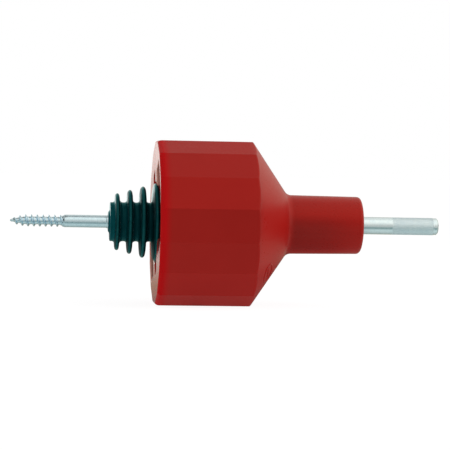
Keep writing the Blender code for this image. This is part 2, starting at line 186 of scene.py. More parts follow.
def fillet(points, radii, steps):
    """Rounds the corners of an open polyline; a radius of 0 leaves its corner sharp."""
    rounded = []
    last = len(points) - 1
    for i, (corner, radius) in enumerate(zip(points, radii)):
        corner = np.array(corner, float)
        if i in (0, last) or radius <= 0:
            rounded.append(tuple(corner))
            continue
        before = np.array(points[i - 1], float) - corner
        after = np.array(points[i + 1], float) - corner
        before_len, after_len = np.linalg.norm(before), np.linalg.norm(after)
        before, after = before / before_len, after / after_len
        angle = math.acos(max(-1.0, min(1.0, float(before @ after))))
        if angle > math.radians(179):
            rounded.append(tuple(corner))
            continue
        # the arc may use up just under half of either neighbouring edge
        trim = min(radius / math.tan(angle / 2), 0.499 * before_len, 0.499 * after_len)
        radius = trim * math.tan(angle / 2)
        bisector = (before + after) / np.linalg.norm(before + after)
        centre = corner + bisector * (radius / math.sin(angle / 2))
        start = corner + before * trim - centre
        end = corner + after * trim - centre
        start_angle = math.atan2(start[1], start[0])
        end_angle = math.atan2(end[1], end[0])
        sweep = (end_angle - start_angle + math.pi) % (2 * math.pi) - math.pi
        for k in range(steps + 1):
            turn = start_angle + sweep * k / steps
            rounded.append((centre[0] + radius * math.cos(turn),
                            centre[1] + radius * math.sin(turn)))
    return rounded


def lip_round(axial, radial, count):
    """(depth, spread) pairs of a rounded lip, from the face inwards."""
    return [(axial * (1 - math.cos(t)), radial * (1 - math.sin(t)))
            for t in np.linspace(0, math.pi / 2, count)]


def root_round(radius, count):
    """(depth, inset) pairs of a rounded root, from the wall to the bottom."""
    return [(radius * math.sin(t), radius * (1 - math.cos(t)))
            for t in np.linspace(0, math.pi / 2, count)]


def smooth_loop(points, rounds):
    """Corner cutting of a closed loop: a smooth curve inside the control polygon."""
    points = np.array(points, float)
    for _ in range(rounds):
        ahead = np.roll(points, -1, axis=0)
        cuts = [0.75 * points + 0.25 * ahead, 0.25 * points + 0.75 * ahead]
        points = np.stack(cuts, axis=1).reshape(-1, 2)
    return points


def offset_loop(loop, distance):
    """Moves a clockwise closed loop outward (inward when negative)."""
    tangent = np.roll(loop, -1, axis=0) - np.roll(loop, 1, axis=0)
    tangent /= np.linalg.norm(tangent, axis=1)[:, None]
    return loop + np.stack([-tangent[:, 1], tangent[:, 0]], axis=1) * distance


def rounded_rectangle(half_len, half_width, corner):
    corner = min(corner, half_len * 0.98, half_width * 0.98)
    steps = 8
    x, y = half_len - corner, half_width - corner
    points = []
    for centre_x, centre_y, start in ((x, y, 0), (-x, y, 90), (-x, -y, 180), (x, -y, 270)):
        for k in range(steps + 1):
            angle = math.radians(start + 90 * k / steps)
            points.append((centre_x + corner * math.cos(angle),
                           centre_y + corner * math.sin(angle)))
    return np.array(points)


def apply_modifiers(piece):
    depsgraph = bpy.context.evaluated_depsgraph_get()
    fresh = bpy.data.meshes.new_from_object(piece.evaluated_get(depsgraph), depsgraph=depsgraph)
    piece.modifiers.clear()
    old = piece.data
    piece.data = fresh
    bpy.data.meshes.remove(old)


def combine(piece, tool, operation="DIFFERENCE"):
    """Applies an exact boolean and uses up the tool."""
    boolean = piece.modifiers.new("cut", "BOOLEAN")
    boolean.operation = operation
    boolean.solver = "EXACT"
    boolean.object = tool
    apply_modifiers(piece)
    bpy.data.objects.remove(tool, do_unlink=True)


def finish_mesh(piece, sharp_angle):
    """Cleans the mesh and shades it smooth up to the angle in degrees."""
    work = bmesh.new()
    work.from_mesh(piece.data)
    bmesh.ops.remove_doubles(work, verts=work.verts, dist=2e-7)
    bmesh.ops.dissolve_degenerate(work, dist=1e-7, edges=work.edges)
    work.to_mesh(piece.data)
    work.free()
    piece.data.shade_smooth()
    piece.data.set_sharp_from_angle(angle=math.radians(sharp_angle))


# ------------------------------------------------------------------------------------------------
# Driver housing: a 16-sided cup with rounded corners, a cone and a neck; slot, recess and pockets
# in the mouth, all with rounded lips
# ------------------------------------------------------------------------------------------------
SIDES = 16
HALF_SIDE = math.pi / SIDES
PRISM_R = APOTHEM / math.cos(HALF_SIDE)     # to the sharp corners
PRISM_LEN = 43.5
CONE_END = 60.5
NECK_R, NECK_R_END = 13.52, 13.16
CONE_DROP, CONE_LEN = PRISM_R - NECK_R, CONE_END - PRISM_LEN

CORNER_R = 0.8                  # rounding of the prism's long edges
RIM_AXIAL = 2.2                 # rounding of the mouth rim, along the axis
RIM_RADIAL = 1.3                # and across it
SHOULDER_R = 0.9                # rounding between prism and cone
CONE_FILLET = 4.0               # hollow fillet between cone and neck
NECK_ROUND = 1.8                # rounding of the neck's free end
BORE_R = SHANK_R + 0.03

CORNER_CENTRE = (APOTHEM - CORNER_R) / math.cos(HALF_SIDE)
# half the angle a flat takes up before the rounding starts
FLAT_LIMIT = math.atan2(CORNER_CENTRE * math.sin(HALF_SIDE), APOTHEM)

LIP = 0.55                      # rounding of the recess's and the slot's lips
RECESS_R, RECESS_DEPTH, RECESS_ROOT = 18.6, 2.0, 0.5
SLOT_HALF_LEN, SLOT_HALF_WIDTH, SLOT_CORNER = 24.4, 4.3, 1.6

POCKET_R = 33.0                 # outer wall, from the axis
POCKET_INNER = 13.5             # flat inner wall, from the axis
POCKET_HALF_LEN = 20.0
POCKET_DEPTH = 39.0
POCKET_ROOT = 1.6               # rounding at the bottom
POCKET_LIP = 0.7
POCKET_DRAFT = 0.35             # how much the walls close in towards the bottom

# relief on the cone: station, and angle from -Y down towards -Z
MARK_X, MARK_ANGLE = 50.0, math.radians(48.0)
MARK_HEIGHT = 0.26
OVAL_HALF_LEN, OVAL_HALF_WIDTH, OVAL_BEAD = 3.5, 5.2, 0.34
BAR_HALF_WIDTH, BAR_BEAD = 3.0, 0.5


def prism_radius(theta):
    """Radius of the rounded prism at an angle from +Y towards +Z; a flat points straight down."""
    from_flat = np.abs((theta + HALF_SIDE) % (2 * HALF_SIDE) - HALF_SIDE)
    flat = APOTHEM / np.cos(from_flat)
    from_corner = HALF_SIDE - from_flat
    reach = CORNER_R ** 2 - (CORNER_CENTRE * np.sin(from_corner)) ** 2
    corner = CORNER_CENTRE * np.cos(from_corner) + np.sqrt(np.maximum(reach, 0.0))
    return np.where(from_flat <= FLAT_LIMIT, flat, corner)


def housing_angles():
    angles = []
    for k in range(SIDES):
        centre = 2 * HALF_SIDE * k
        corner = np.linspace(FLAT_LIMIT, 2 * HALF_SIDE - FLAT_LIMIT, 8)[1:-1]
        angles += list(centre + np.linspace(-FLAT_LIMIT, FLAT_LIMIT, 12))
        angles += list(centre + corner)
    return np.array(sorted(angle % (2 * math.pi) for angle in angles))


def housing_profile(radius):
    """(station, radius) pairs from the mouth, over the outside and into the shank's bore."""
    points = [(0.0, radius - 3.5), (0.0, radius - RIM_RADIAL - 0.4)]
    points += [(x, radius - drop) for x, drop in lip_round(RIM_AXIAL, RIM_RADIAL, 15)]
    points += [(16.0, radius), (30.0, radius)]
    radii = [0] * len(points)
    # this line of the prism meets the cone further on where its radius is smaller
    shoulder = PRISM_LEN + (PRISM_R - radius) / (CONE_DROP / CONE_LEN)
    points += [(shoulder, radius), (CONE_END, NECK_R), (NECK_END, NECK_R_END),
               (NECK_END, SHANK_R + 0.35), (NECK_END - 0.35, BORE_R), (SHANK_IN - 0.1, BORE_R)]
    radii += [SHOULDER_R, CONE_FILLET, NECK_ROUND, 0, 0, 0]
    return fillet(points, radii, 9)


def recess_tool():
    """Round recess for the last fin."""
    profile = [(-TOOL_LEAD, RECESS_R + LIP), (0.0, RECESS_R + LIP)]
    profile += [(x, RECESS_R + spread) for x, spread in lip_round(LIP, LIP, 7)[1:]]
    profile += [(RECESS_DEPTH + x, RECESS_R - inset) for x, inset in root_round(RECESS_ROOT, 5)]
    return turned("recess_tool", profile, 192)


def slot_tool():
    """Slot for the ring head, its bottom rounded like the ring."""
    def section(x, half_len, half_width):
        return x, rounded_rectangle(half_len, half_width, SLOT_CORNER)

    sections = [section(-TOOL_LEAD, SLOT_HALF_LEN + LIP, SLOT_HALF_WIDTH + LIP)]
    for x, spread in lip_round(LIP, LIP, 7):
        sections.append(section(x, SLOT_HALF_LEN + spread, SLOT_HALF_WIDTH + spread))
    sections.append(section(12.0, SLOT_HALF_LEN, SLOT_HALF_WIDTH - 0.03))
    for degrees in np.linspace(0, 84, 26):
        angle = math.radians(degrees)
        sections.append(section(RING_CENTRE + SLOT_HALF_LEN * math.sin(angle),
                                SLOT_HALF_LEN * math.cos(angle), SLOT_HALF_WIDTH - 0.06))
    return loft("slot_tool", sections)


def pocket_loop():
    """Clockwise outline of a pocket, (along, across): round outer wall, flat inner wall."""
    half_len, inner = POCKET_HALF_LEN, POCKET_INNER
    end_angle = math.asin(half_len / POCKET_R)
    end_across = POCKET_R * math.cos(end_angle)
    points = [(POCKET_R * math.sin(a), POCKET_R * math.cos(a))
              for a in np.linspace(-end_angle + 0.07, end_angle - 0.07, 15)]
    points += [(half_len, end_across - 0.5), (half_len, end_across - 3.4),
               (half_len, inner + 3.0), (half_len, inner), (half_len - 2.0, inner)]
    points += [(x, inner) for x in np.linspace(half_len - 5.0, -half_len + 5.0, 9)]
    points += [(-half_len + 2.0, inner), (-half_len, inner), (-half_len, inner + 3.0),
               (-half_len, end_across - 3.4), (-half_len, end_across - 0.5)]
    return smooth_loop(points, 3)


def pocket_tool(side):
    """One of the two pockets beside the slot; side is +1 or -1 along ACROSS."""
    offsets = [(-TOOL_LEAD, POCKET_LIP)]
    offsets += lip_round(POCKET_LIP, POCKET_LIP, 7)
    root_start = POCKET_DEPTH - POCKET_ROOT
    offsets += [(root_start + x, -POCKET_DRAFT - inset)
                for x, inset in root_round(POCKET_ROOT, 7)]
    loop = pocket_loop()
    return loft(f"pocket_tool_{side}",
                [(x, offset_loop(loop, offset) * (1, side)) for x, offset in offsets])


def cone_point(down, around, lift):
    """Point on the cone in mm: down the slope from the mark's centre, round the cone, and above
    the surface."""
    slope = math.atan2(CONE_DROP, CONE_LEN)
    x = MARK_X + down * math.cos(slope)
    radius = PRISM_R - (x - PRISM_LEN) * math.tan(slope)
    mark_radius = PRISM_R - (MARK_X - PRISM_LEN) * math.tan(slope)
    angle = MARK_ANGLE + around / mark_radius
    outward = np.array((math.sin(slope), -math.cos(slope) * math.cos(angle),
                        -math.cos(slope) * math.sin(angle)))
    point = np.array([MOUTH / MM + x, -radius * math.cos(angle), -radius * math.sin(angle)])
    return point + outward * lift


def relief(name, path, half_width, closed):
    """A low rounded bead along a path of (down, around) pairs on the cone; open ends taper."""
    path = np.array(path, float)
    if closed:
        tangent = np.roll(path, -1, axis=0) - np.roll(path, 1, axis=0)
    else:
        tangent = np.gradient(path, axis=0)
    tangent /= np.linalg.norm(tangent, axis=1)[:, None]
    sideways = np.stack([-tangent[:, 1], tangent[:, 0]], axis=1)
    last = len(path) - 1
    rings = []
    for i, (centre, normal) in enumerate(zip(path, sideways)):
        size = 1.0
        if not closed:
            from_end = (min(i, last - i) + 0.3) / 8.0
            size = max(0.08, math.sin(math.pi * min(0.5, from_end)))
        ring = []
        for angle in np.linspace(0, 2 * math.pi, 12, endpoint=False):
            rise = math.sin(angle)
            lift = rise * MARK_HEIGHT * size if rise > 0 else rise * 0.35
            down, around = centre + normal * (math.cos(angle) * half_width * size)
            ring.append(cone_point(down, around, lift) * MM)
        rings.append(ring)
    make = torus_mesh if closed else tube_mesh
    return make(name, np.array(rings))


def mark_tools():
    """An oval outline with a bar in it, low on the cone's camera side."""
    oval = [(OVAL_HALF_LEN * math.cos(a), OVAL_HALF_WIDTH * math.sin(a))
            for a in np.linspace(0, 2 * math.pi, 72, endpoint=False)]
    bar = [(0.0, around) for around in np.linspace(-BAR_HALF_WIDTH, BAR_HALF_WIDTH, 33)]
    return [relief("mark_oval", oval, OVAL_BEAD, closed=True),
            relief("mark_bar", bar, BAR_BEAD, closed=False)]


def build_housing():
    theta = housing_angles()
    profiles = np.array([housing_profile(float(prism_radius(angle))) for angle in theta])
    piece = tube_mesh("housing", axis_rings(profiles[:, :, 0].T, profiles[:, :, 1].T,
                                            np.cos(theta), np.sin(theta)))
    combine(piece, recess_tool())
    combine(piece, slot_tool())
    for side in (1, -1):
        combine(piece, pocket_tool(side))
    for tool in mark_tools():
        combine(piece, tool, "UNION")
    finish_mesh(piece, sharp_angle=32)
    normals = piece.modifiers.new("face_weighted_normals", "WEIGHTED_NORMAL")
    normals.keep_sharp = True
    normals.weight = 100
    normals.mode = "FACE_AREA"
    return piece


# ------------------------------------------------------------------------------------------------
# Drive shank: turned, with two grooves, two flats and a fine knurled zone
# ------------------------------------------------------------------------------------------------
KNURL_START, KNURL_END = NECK_END + 14.7, SHANK_END - 2.35
KNURL_STEP = 0.085              # ring spacing
KNURL_STARTS = 40               # grooves round the shank in each family
KNURL_PITCH = 0.62
KNURL_DEPTH = 0.075
SHANK_CHAMFER = 0.6
SHANK_GROOVES = (SHANK_IN + 18.0, SHANK_IN + 23.0)
GROOVE_DEPTH = 0.6
TAIL_R = SHANK_R - 0.15         # past the knurl
TAIL_CHAMFER = 0.65
FLAT_DISTANCE = 3.2             # of each flat from the axis
FLAT_BLOCK = (32, 16, 5)        # block that cuts a flat


def shank_profile():
    points = [(SHANK_IN, 0.4), (SHANK_IN, SHANK_R - SHANK_CHAMFER),
              (SHANK_IN + SHANK_CHAMFER, SHANK_R)]
    for x in SHANK_GROOVES:
        bottom = SHANK_R - GROOVE_DEPTH
        points += [(x - 1.4, SHANK_R), (x - 0.8, bottom), (x + 0.8, bottom), (x + 1.4, SHANK_R)]
    knurl_rings = int((KNURL_END - KNURL_START) / KNURL_STEP)
    points += [(x, SHANK_R) for x in np.linspace(SHANK_GROOVES[1] + 2.5, KNURL_START - 0.2, 30)]
    points += [(x, SHANK_R) for x in np.linspace(KNURL_START, KNURL_END, knurl_rings)]
    tail = [(KNURL_END + 0.1, SHANK_R), (KNURL_END + 0.3, TAIL_R),
            (SHANK_END - TAIL_CHAMFER, TAIL_R), (SHANK_END, TAIL_R - TAIL_CHAMFER),
            (SHANK_END, 1.0)]
    return np.array(points + fillet(tail, [0, 0.1, 0.3, 0.25, 0], 5))


def knurl_cut(x, angles):
    """Depth of the diamond knurl: two crossing families of shallow grooves."""
    def triangle(phase):
        return np.abs((phase % 1.0) - 0.5) * 2.0

    around = KNURL_STARTS * angles[None, :] / (2 * math.pi)
    forward = x / KNURL_PITCH
    nearest = np.minimum(triangle(around + forward), triangle(around - forward))
    land = np.minimum(1.0, 1.7 * nearest)
    fade = np.clip(np.minimum((x - KNURL_START) / 0.5, (KNURL_END - x) / 0.35), 0, 1)
    return KNURL_DEPTH * (1.0 - land) * fade


def build_shank():
    angles = np.linspace(0, 2 * math.pi, 360, endpoint=False)
    profile = shank_profile()
    x, radius = profile[:, :1], profile[:, 1:]
    piece = tube_mesh("shank", axis_rings(x, radius - knurl_cut(x, angles),
                                          np.cos(angles), np.sin(angles)))
    across = Vector(ACROSS.tolist())
    along = Vector(ALONG.tolist())
    turn = Matrix((Vector((1, 0, 0)), -along, across)).transposed().to_4x4()
    for side in (1, -1):
        tool = block(f"flat_tool_{side}", FLAT_BLOCK)
        offset = across * side * (FLAT_DISTANCE + FLAT_BLOCK[2] / 2) * MM
        centre = Vector((station(SHANK_IN - 2.0), 0, 0)) + offset
        tool.matrix_world = Matrix.Translation(centre) @ turn
        bpy.context.view_layer.update()
        combine(piece, tool)
    finish_mesh(piece, sharp_angle=38)
    return piece


# ------------------------------------------------------------------------------------------------
# Insulator body: turned core with four fins, ring head with a slanted slit
# ------------------------------------------------------------------------------------------------
# station, radius, half thickness at the foot, half thickness where the round tip starts
FINS = (
    (-17.4, 13.0, 1.32, 0.95),
    (-11.64, 14.6, 1.44, 1.02),
    (-5.71, 16.25, 1.6, 1.12),
    (0.2, 17.75, 1.68, 1.15),
)
CORE_R = 8.89
CORE_END = BOSS_END + 0.75
SOCKET_R = 3.1

RING_R = 23.0                   # outer radius
RING_RADIAL = 6.4               # thickness of the ring, radially
RING_ACROSS = 7.4               # and across its plane
RING_MEAN_R = RING_R - RING_RADIAL / 2
RING_POWER = 0.8                # below 1 squares off the ring's cross section
SLIT_ANGLE = math.radians(52.0)     # place on the ring, from +X towards ALONG
SLIT_SLANT = math.radians(38.0)
SLIT_BLOCK = (2.4, 24, 16)      # width first
# station, half length along the slot
WEB = ((0.6, 9.0), (4.0, 9.0), (6.5, 8.6), (9.0, 7.5))
WEB_HALF_ACROSS = RING_ACROSS / 2 - 0.35


def fin_profile(x, radius, foot, tip):
    """One fin: foot, leaning flank, elliptical tip, and back down; points and rounding radii."""
    height = 1.25 * tip
    crest = [(x - tip * math.cos(a), radius - height + height * math.sin(a))
             for a in np.linspace(0, math.pi, 19)]
    points = [(x - foot, CORE_R)] + crest + [(x + foot, CORE_R)]
    return points, [1.2] + [0] * len(crest) + [1.5]


def body_profile():
    points = [(BOSS_END, 3.14), (BOSS_END, 4.4), (CORE_END, 5.6), (CORE_END, CORE_R)]
    radii = [0, 0.35, 0.3, 0.35]
    for fin in FINS:
        fin_points, fin_radii = fin_profile(*fin)
        points += fin_points
        radii += fin_radii
    # the last fin ends in the body's flat back instead of the core
    back = FINS[-1][0] + FINS[-1][2]
    points[-1:] = [(back, CORE_R + 0.8), (back, 2.0)]
    radii[-1:] = [0.5, 0]
    return fillet(points, radii, 8)


def ring_rings():
    """Superelliptic cross sections round the ring."""
    def flattened(value):
        return math.copysign(abs(value) ** RING_POWER, value)

    count, section_count = 220, 40
    rings = []
    for i in range(count):
        angle = 2 * math.pi * i / count
        radial = np.array([math.cos(angle), 0, 0]) + ALONG * math.sin(angle)
        centre = np.array([station(RING_CENTRE), 0, 0]) + radial * RING_MEAN_R * MM
        ring = []
        for j in range(section_count):
            turn = 2 * math.pi * j / section_count
            outward = RING_RADIAL / 2 * flattened(math.cos(turn))
            sideways = RING_ACROSS / 2 * flattened(math.sin(turn))
            ring.append(centre + radial * outward * MM + ACROSS * sideways * MM)
        rings.append(ring)
    return np.array(rings)


def slit_tool():
    """Slanted wire-entry slit."""
    along = Vector(ALONG.tolist())
    radial = Vector((math.cos(SLIT_ANGLE), 0, 0)) + along * math.sin(SLIT_ANGLE)
    tangent = Vector((-math.sin(SLIT_ANGLE), 0, 0)) + along * math.cos(SLIT_ANGLE)
    slant = Matrix.Rotation(SLIT_SLANT, 3, radial)
    tangent, side = slant @ tangent, slant @ Vector(ACROSS.tolist())
    turn = Matrix((tangent, side, radial)).transposed().to_4x4()
    centre = Vector((station(RING_CENTRE), 0, 0)) + radial * RING_MEAN_R * MM
    tool = block("slit_tool", SLIT_BLOCK, Matrix.Translation(centre) @ turn)
    orient(tool)
    return tool


def build_ring_head():
    """Ring and web as one rounded moulding, remeshed so that they melt into each other."""
    head = torus_mesh("ring_head", ring_rings())
    combine(head, slit_tool())
    web = loft("web_tool", [(x, rounded_rectangle(half_len, WEB_HALF_ACROSS, 1.2))
                            for x, half_len in WEB])
    combine(head, web, "UNION")
    remesh = head.modifiers.new("remesh", "REMESH")
    remesh.mode = "VOXEL"
    remesh.voxel_size = 0.24 * MM
    soften = head.modifiers.new("soften", "SMOOTH")
    soften.factor = 0.5
    soften.iterations = 10
    apply_modifiers(head)
    return head


def build_body():
    piece = turned("insulator", body_profile(), 256)
    socket = [(BOSS_END - TOOL_LEAD, SOCKET_R), (SCREW_IN + 0.05, SOCKET_R)]
    combine(piece, turned("screw_socket", socket, 96))
    combine(piece, build_ring_head(), "UNION")
    finish_mesh(piece, sharp_angle=40)
    return piece


# ------------------------------------------------------------------------------------------------
# Wood screw
# ------------------------------------------------------------------------------------------------
SCREW_R = 2.85
PITCH = 2.63
THREAD_END = -41.2
POINT_LEN = 6.8
TIP_SIZE = 0.16                 # root radius at the tip, as a share of the full one
ROOT_R, CREST_R = 1.8, 2.72
THREAD_PHASE = 0.863            # turns
CREST_HALF = 0.16               # half width of the crest
FLANK = 0.55                    # width of each flank
RUN_OUT = 3.2                   # length over which the root rises to the plain shank
COLLAR_R = 3.08


def thread_surface(x, turn):
    """Radius of the threaded end; x is a column of stations, turn a row of angles in turns."""
    from_tip = x - SCREW_TIP
    growth = (np.maximum(from_tip, 0.0) / POINT_LEN) ** 0.8
    taper = np.minimum(1.0, TIP_SIZE + (1 - TIP_SIZE) * growth)
    root = ROOT_R * taper
    height = (CREST_R - ROOT_R) * np.clip(from_tip / (0.45 * POINT_LEN), 0, 1)
    phase = (from_tip / PITCH - turn + THREAD_PHASE) % 1.0
    from_crest = np.abs(phase - 0.5) * PITCH
    ridge = np.clip(1.0 - np.maximum(from_crest - CREST_HALF, 0.0) / FLANK, 0, 1)
    # rounded crest, small hollow at the foot of the flank
    ridge = ridge * ridge * (3 - 2 * ridge) * 0.5 + ridge * 0.5
    radius = root + height * ridge
    # the waist between crests is very slightly dished
    radius = radius - 0.05 * taper * np.clip((from_crest - 0.8) / 0.5, 0, 1)
    left = THREAD_END - x
    rise = np.clip(1.0 - np.maximum(left, 0) / RUN_OUT, 0, 1)
    blended = np.maximum(root + (SCREW_R - root) * rise ** 2, np.minimum(radius, CREST_R))
    return np.where(left < RUN_OUT, blended, radius)


def screw_tail():
    """(station, radius) of the plain shank and its collar, with rings at most about 3 mm apart."""
    corners = [(THREAD_END, SCREW_R), (CORE_END - 1.55, SCREW_R), (CORE_END - 1.3, COLLAR_R),
               (CORE_END + 1.0, COLLAR_R), (CORE_END + 1.4, SCREW_R), (SCREW_IN - 0.4, SCREW_R),
               (SCREW_IN, SCREW_R - 0.4), (SCREW_IN, 0.5)]
    tail = fillet(corners, [0, 0.3, 0.15, 0.2, 0.2, 0.1, 0.1, 0], 4)
    dense = []
    for here, ahead in zip(tail, tail[1:]):
        steps = max(1, int(abs(ahead[0] - here[0]) / 1.5))
        dense += [(here[0] + (ahead[0] - here[0]) * i / steps,
                   here[1] + (ahead[1] - here[1]) * i / steps) for i in range(steps)]
    return np.array(dense + [tail[-1]])


def build_screw():
    count = 120
    turn = np.arange(count) / count
    angles = 2 * math.pi * turn
    thread_x = np.concatenate([[SCREW_TIP + 0.001, SCREW_TIP + 0.05],
                               np.arange(SCREW_TIP + 0.1, THREAD_END, 0.07)])[:, None]
    thread_r = thread_surface(thread_x, turn[None, :])
    thread_r[0] *= 0.55
    tail = screw_tail()
    x = np.concatenate([thread_x, tail[:, :1]])
    radius = np.concatenate([thread_r, np.repeat(tail[:, 1:], count, axis=1)])
    piece = tube_mesh("screw", axis_rings(x, radius, -np.sin(angles), np.cos(angles)))
    finish_mesh(piece, sharp_angle=50)
    return piece


# ------------------------------------------------------------------------------------------------
# Node trees
# ------------------------------------------------------------------------------------------------
def grey(level):
    return (level,) * 3


class NodeTree:
    """Builds a node tree. Values may be numbers, colours or output sockets; all methods but
    fill and add return output sockets."""

    def __init__(self, owner):
        owner.use_nodes = True
        self.tree = owner.node_tree
        self.tree.nodes.clear()

    def fill(self, node, inputs):
        """Links or sets inputs, given as a dict by name or index."""
        for key, value in inputs.items():
            socket = node.inputs[key]
            if isinstance(value, bpy.types.NodeSocket):
                self.tree.links.new(value, socket)
            elif socket.type == "RGBA":
                socket.default_value = (*value, 1.0)
            else:
                socket.default_value = value

    def add(self, kind, inputs=None, **props):
        node = self.tree.nodes.new(kind)
        for key, value in props.items():
            setattr(node, key, value)
        self.fill(node, inputs or {})
        return node

    def math(self, operation, *values):
        return self.add("ShaderNodeMath", dict(enumerate(values)), operation=operation).outputs[0]

    def product(self, result, *factors):
        for factor in factors:
            result = self.math("MULTIPLY", result, factor)
        return result

    def dot(self, first, second):
        return self.add("ShaderNodeVectorMath", {0: first, 1: second},
                        operation="DOT_PRODUCT").outputs["Value"]

    def split(self, vector):
        """The X, Y and Z outputs of a vector."""
        return self.add("ShaderNodeSeparateXYZ", {0: vector}).outputs

    def remap(self, value, span, to=(0.0, 1.0), smooth=False, clamp=True):
        """Maps the span, which may run downwards, to another range."""
        inputs = {"Value": value, "From Min": span[0], "From Max": span[1],
                  "To Min": to[0], "To Max": to[1]}
        return self.add("ShaderNodeMapRange", inputs, clamp=clamp,
                        interpolation_type="SMOOTHSTEP" if smooth else "LINEAR").outputs[0]

    def mix(self, factor, first, second, blend="MIX"):
        """Mixes two colours."""
        return self.add("ShaderNodeMix", {0: factor, 6: first, 7: second},
                        data_type="RGBA", blend_type=blend).outputs[2]

    def ramp(self, factor, stops):
        """Colour ramp; stops: (position, colour) pairs in rising order."""
        node = self.add("ShaderNodeValToRGB", {"Fac": factor})
        elements = node.color_ramp.elements
        for element, (position, colour) in zip((elements[0], elements[-1]),
                                               (stops[0], stops[-1])):
            element.position = position
            element.color = (*colour, 1)
        for position, colour in stops[1:-1]:
            elements.new(position).color = (*colour, 1)
        return node.outputs["Color"]


class Surface(NodeTree):
    """Node tree of a new material, with a principled shader linked to its output."""

    def __init__(self, name):
        self.material = bpy.data.materials.new(name)
        super().__init__(self.material)
        self.out = self.add("ShaderNodeOutputMaterial")
        self.bsdf = self.add("ShaderNodeBsdfPrincipled")
        self.fill(self.out, {"Surface": self.bsdf.outputs["BSDF"]})
        self.coord = self.add("ShaderNodeTexCoord").outputs["Object"]

    def noise(self, scale, detail, roughness, stretch=None, distortion=0.0):
        vector = self.coord
        if stretch is not None:
            mapping = self.add("ShaderNodeMapping", {"Vector": vector, "Scale": stretch})
            vector = mapping.outputs["Vector"]
        inputs = {"Vector": vector, "Scale": scale, "Detail": detail, "Roughness": roughness,
                  "Distortion": distortion}
        return self.add("ShaderNodeTexNoise", inputs).outputs["Fac"]

    def bump(self, height, strength, distance, normal=None):
        """Bump of the given distance in metres, laid over another normal if there is one."""
        inputs = {"Height": height, "Strength": strength, "Distance": distance}
        if normal is not None:
            inputs["Normal"] = normal
        return self.add("ShaderNodeBump", inputs).outputs["Normal"]

    def noise_bumps(self, layers):
        """Stacked noise bumps; layers: (noise scale, strength, distance), lowest first."""
        normal = None
        for scale, strength, distance in layers:
            height = self.noise(scale=scale, detail=2.0, roughness=0.5)
            normal = self.bump(height, strength, distance, normal)
        return normal

    def axis_radius(self, place):
        """Distance from the X axis, from a split position."""
        squares = [self.math("MULTIPLY", place[axis], place[axis]) for axis in "YZ"]
        return self.math("POWER", self.math("ADD", *squares), 0.5)

    def normal_parts(self):
        return self.split(self.add("ShaderNodeNewGeometry").outputs["Normal"])

    def edge_mask(self, radius):
        """1 on rounded edges and 0 on flats: how far the bevelled normal leans from the real."""
        bevel = self.add("ShaderNodeBevel", {"Radius": radius}, samples=6)
        geometry = self.add("ShaderNodeNewGeometry")
        lean = self.math("SUBTRACT", 1.0,
                         self.dot(bevel.outputs["Normal"], geometry.outputs["Normal"]))
        return self.remap(lean, span=(0.0, 0.25))


# ------------------------------------------------------------------------------------------------
# Red plastic of the housing
# ------------------------------------------------------------------------------------------------
RED_DEEP = (0.385, 0.0072, 0.0050)
RED_BRIGHT = (0.425, 0.0095, 0.0070)
RED_FLOW = (0.405, 0.0082, 0.0060)      # streaks along the axis
RED_WORN = (0.50, 0.045, 0.040)         # patches on edges
RED_INSIDE_PAINTED_SHADE = (0.080, 0.006, 0.005)      # painted shade deep in the mouth
RED_RIM_PAINTED_LIGHT = (0.485, 0.0062, 0.0080)       # rounded outer rim of the mouth, painted lighter and more saturated as light falling on it
# painted light on the pocket lips: a pale painted highlight, and painted shade low on the camera
# side
LIP_PAINTED_HIGHLIGHT = (0.62, 0.33, 0.26)
LIP_PAINTED_SHADE = (0.045, 0.010, 0.008)
NECK_PAINTED_SHADOW = (0.72, 1.15, 1.40)          # painted shadow of the cone: multiplies the red on the neck's camera side, lifting green and blue as a painted reflection haze
RED_BUMPS = ((55.0, 0.25, 0.00012), (1500.0, 0.35, 0.000012))
# painted shading of the prism's camera side: z of the surface normal, brightness
PRISM_PAINTED_SHADING = ((-0.92, 1.07), (-0.70, 1.0), (-0.38, 0.915), (0.0, 0.825), (0.20, 0.85),
              (0.38, 0.935), (0.70, 0.93), (0.92, 0.96))


def red_base(tree, cloud, place, radius):
    """Cloudy red with flow streaks and worn edges, with painted shade inside the mouth."""
    tone = tree.remap(cloud, span=(0.3, 0.7))
    colour = tree.mix(tone, RED_DEEP, RED_BRIGHT)
    flow = tree.noise(scale=60.0, detail=3.0, roughness=0.5, stretch=(0.25, 1.0, 1.0),
                      distortion=0.4)
    colour = tree.mix(tree.remap(flow, span=(0.35, 0.65), to=(0.0, 0.5)), colour, RED_FLOW)
    wear = tree.noise(scale=420.0, detail=5.0, roughness=0.6)
    patch = tree.remap(wear, span=(0.50, 0.66), to=(0.0, 0.20))
    colour = tree.mix(tree.product(tree.edge_mask(0.9 * MM), patch), colour, RED_WORN)
    # painted shade: the red darkens deep inside the mouth and its pockets
    inside = tree.product(
        tree.remap(place["X"], span=stations(1.5, 9.0)),
        tree.remap(radius, span=mm(34.5, 34.1)),
        tree.remap(place["X"], span=stations(45.0, 43.0)),
        0.8)
    return tree.mix(inside, colour, RED_INSIDE_PAINTED_SHADE)


def red_roughness(tree, cloud, place):
    """Smooth mouth rim, matt prism, cone and neck between; each varied by two noises."""
    fine = tree.noise(scale=900.0, detail=2.0, roughness=0.5)
    variation = tree.math("ADD", tree.remap(fine, span=(0.3, 0.7), to=(-0.03, 0.04)),
                          tree.remap(cloud, span=(0.3, 0.7), to=(-0.02, 0.03)))
    zone = tree.math("ADD", tree.remap(place["X"], span=stations(1.6, 3.2), to=(0.20, 0.47)),
                     tree.remap(place["X"], span=stations(41.5, 44.5), to=(0.0, -0.17)))
    return tree.math("ADD", variation, zone)


def rim_mask(tree, place, radius, normal):
    return tree.product(
        tree.remap(place["X"], span=stations(5.6, 1.6), smooth=True),
        tree.remap(normal["X"], span=(-0.998, -0.96)),
        tree.remap(radius, span=mm(34.2, 34.6)))


